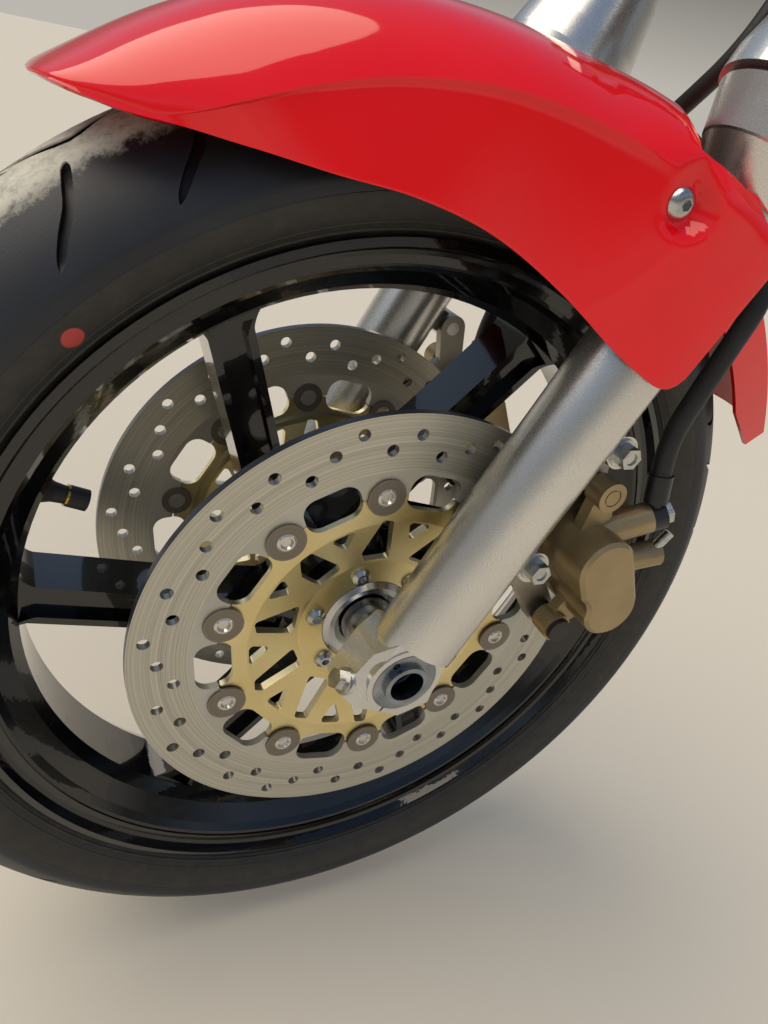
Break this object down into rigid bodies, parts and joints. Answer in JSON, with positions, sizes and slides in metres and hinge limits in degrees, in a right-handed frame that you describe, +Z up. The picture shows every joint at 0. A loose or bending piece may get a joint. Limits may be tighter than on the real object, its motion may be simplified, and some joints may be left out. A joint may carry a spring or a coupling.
{
  "type": "motorcycle front end",
  "caption": "Front wheel with twin floating brake discs in a telescopic fork with yokes, sliding calipers and a wrapped mudguard.",
  "frame": {"origin": "centre of the lower steering head bearing, on the steering axis", "axes": "+X forward, +Y to the rider's left, +Z up; the steering axis leans back 25 degrees from +Z"},
  "size_m": [0.6554, 0.296, 0.9834],
  "materials": {
    "axle_steel": "blued steel",
    "bearing_steel": "turned steel",
    "black_aluminium": "satin black enamel on cast aluminium",
    "black_gloss_paint": "gloss black enamel on cast aluminium",
    "black_rubber": "moulded rubber",
    "bobbin_steel": "turned steel",
    "bracket_steel": "zinc plated steel",
    "bronze_aluminium": "bronze enamel on cast aluminium",
    "chromed_tube": "hard chrome on ground steel tube",
    "disc_steel": "stainless steel, swept by the pads",
    "gold_aluminium": "gold anodised aluminium",
    "pad_backing": "steel backing plate with friction lining",
    "red_gloss_paint": "gloss red lacquer on moulded plastic",
    "silver_paint": "satin silver enamel on cast aluminium",
    "tyre_rubber": "matt moulded rubber",
    "zinc_steel": "zinc plated steel"
  },
  "bodies": {
    "head_bearings": {"lower_head_bearing": "bearing_steel", "upper_head_bearing": "bearing_steel"},
    "fork": {"axle": "axle_steel", "axle_spacers": "bearing_steel", "brake_fittings": "black_rubber", "brake_pads": "pad_backing", "caliper_bolts": "zinc_steel", "dust_caps": "black_rubber", "fork_caps": "black_aluminium", "hose_splitter": "zinc_steel", "left_brake_hose": "black_rubber", "left_caliper_body": "bronze_aluminium", "left_caliper_bracket": "bracket_steel", "left_fork_slider": "silver_paint", "left_fork_tube": "chromed_tube", "left_slider_cover": "silver_paint", "lower_yoke": "black_aluminium", "mudguard": "red_gloss_paint", "mudguard_bolts": "zinc_steel", "mudguard_rear": "red_gloss_paint", "pin_boots": "black_rubber", "pinch_bolts": "zinc_steel", "right_brake_hose": "black_rubber", "right_caliper_body": "bronze_aluminium", "right_caliper_bracket": "bracket_steel", "right_fork_slider": "silver_paint", "right_fork_tube": "chromed_tube", "right_slider_cover": "silver_paint", "slide_pins": "zinc_steel", "steering_stem": "bearing_steel", "stem_nuts": "zinc_steel", "top_yoke": "black_aluminium"},
    "wheel": {"tyre": "tyre_rubber", "wheel_casting": "black_gloss_paint", "valve_stem": "black_rubber", "wheel_bearings": "bearing_steel", "dust_seals": "black_rubber", "hub_collars": "bearing_steel", "disc_bolts": "zinc_steel", "left_disc_ring": "disc_steel", "right_disc_ring": "disc_steel", "left_disc_carrier": "gold_aluminium", "right_disc_carrier": "gold_aluminium", "left_disc_bobbins": "bobbin_steel", "right_disc_bobbins": "bobbin_steel"}
  },
  "joints": [
    {"name": "steering", "type": "hinge", "parent": "head_bearings", "child": "fork", "pos_m": [0, 0, 0], "axis": [-0.4226, 0, 0.9063], "range_deg": [-31, 31]},
    {"name": "wheel_spin", "type": "hinge", "parent": "fork", "child": "wheel", "pos_m": [0.25148, 0, -0.45649], "axis": [0, 1, 0], "continuous": true}
  ]
}
